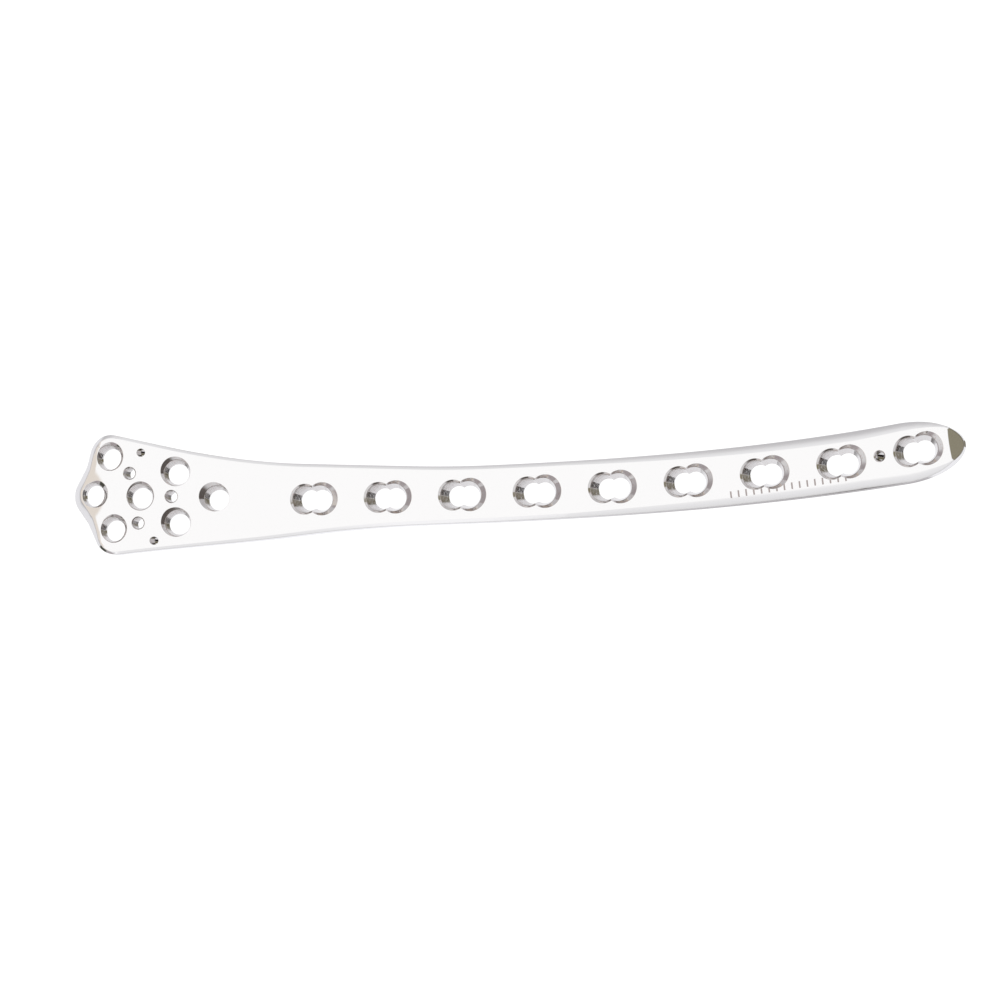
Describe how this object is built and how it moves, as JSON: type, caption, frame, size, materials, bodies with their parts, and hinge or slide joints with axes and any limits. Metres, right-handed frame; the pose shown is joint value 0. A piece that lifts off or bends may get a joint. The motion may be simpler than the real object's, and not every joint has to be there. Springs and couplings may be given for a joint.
{
  "type": "orthopedic bone plate",
  "caption": "Long bowed steel bone plate with a wide three-lobed head, conical threaded holes in the head and two-part combination holes along the shaft.",
  "frame": {"origin": "on the axis of the threaded half of the shaft hole nearest the head, in the plane of the shaft's bone side", "axes": "+X from the head along the shaft to the tip, +Y across the shaft to the hollow side of its bow, +Z out of the outer face, away from the bone"},
  "size_m": [0.2343, 0.031, 0.0154],
  "materials": {
    "implant_steel": "mirror polished implant stainless steel"
  },
  "bodies": {
    "root": {"plate": "implant_steel"}
  },
  "joints": []
}
